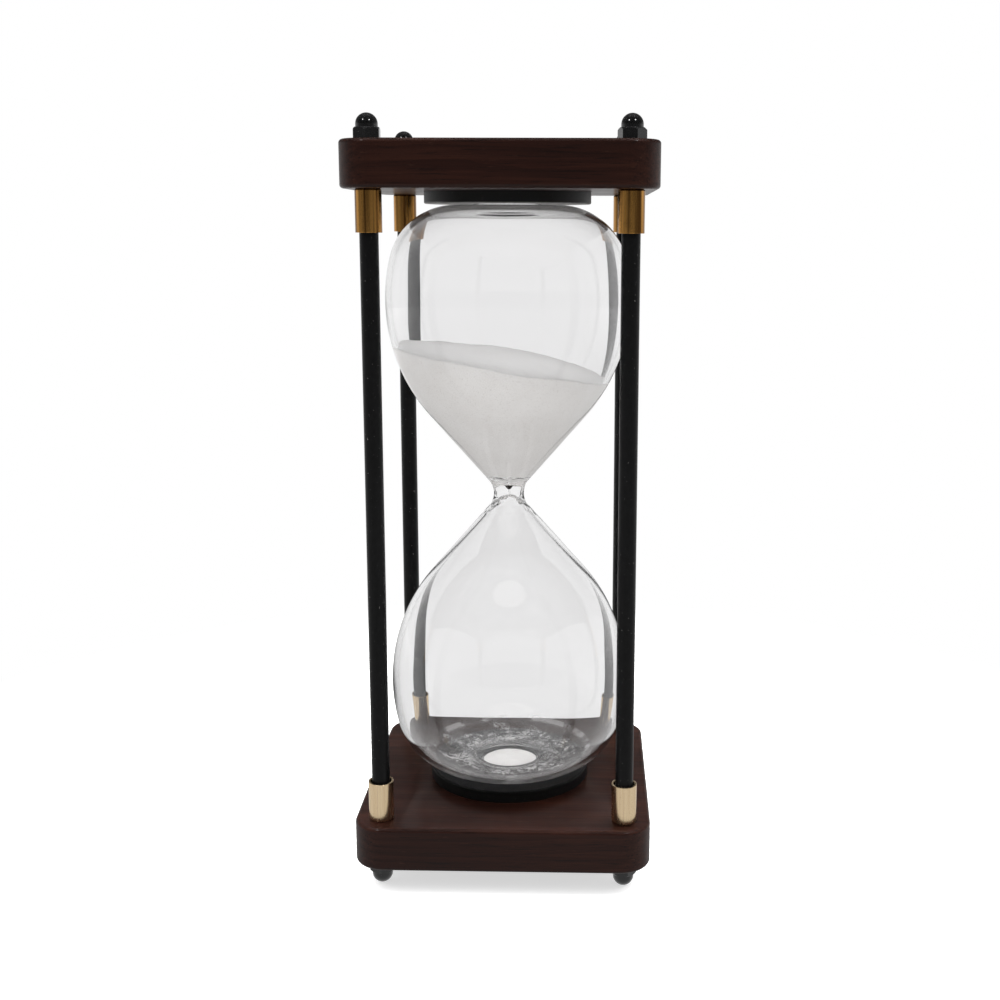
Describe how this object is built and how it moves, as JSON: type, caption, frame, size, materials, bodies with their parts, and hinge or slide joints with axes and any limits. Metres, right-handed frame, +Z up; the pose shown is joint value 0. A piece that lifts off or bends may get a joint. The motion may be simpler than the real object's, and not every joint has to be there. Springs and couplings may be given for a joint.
{
  "type": "hourglass",
  "caption": "Sand timer: a glass vessel with two bulbs, gripped between square wooden boards that corner posts hold apart, with white sand in the upper bulb.",
  "frame": {"origin": "on the surface that the object stands on, under the centre of the boards, at the height of the lower nuts' tips", "axes": "+Z up along the glass, +X to the right and -Y to the front; the posts stand at the four corners along X and Y"},
  "size_m": [0.1, 0.1, 0.255],
  "materials": {
    "wood": "dark walnut stain under satin lacquer",
    "post_black": "satin black paint",
    "brass": "fine turned satin",
    "nut_black": "gloss black",
    "pad_rubber": "matt black",
    "glass": "clear blown glass",
    "stopper_white": "matt white",
    "sand": "fine white grains"
  },
  "bodies": {
    "frame": {"bottom_board": "wood", "top_board": "wood", "bottom_pad": "pad_rubber", "top_pad": "pad_rubber", "post_front_left": "post_black", "bottom_ferrule_front_left": "brass", "top_ferrule_front_left": "brass", "bottom_nut_front_left": "nut_black", "top_nut_front_left": "nut_black", "post_front_right": "post_black", "bottom_ferrule_front_right": "brass", "top_ferrule_front_right": "brass", "bottom_nut_front_right": "nut_black", "top_nut_front_right": "nut_black", "post_back_left": "post_black", "bottom_ferrule_back_left": "brass", "top_ferrule_back_left": "brass", "bottom_nut_back_left": "nut_black", "top_nut_back_left": "nut_black", "post_back_right": "post_black", "bottom_ferrule_back_right": "brass", "top_ferrule_back_right": "brass", "bottom_nut_back_right": "nut_black", "top_nut_back_right": "nut_black"},
    "glass": {"glass_vessel": "glass", "stopper": "stopper_white", "sand": "sand"}
  },
  "joints": [
    {"name": "glass_turn", "type": "hinge", "parent": "frame", "child": "glass", "pos_m": [0, 0, 0.1275], "axis": [0, 0, 1], "continuous": true}
  ]
}
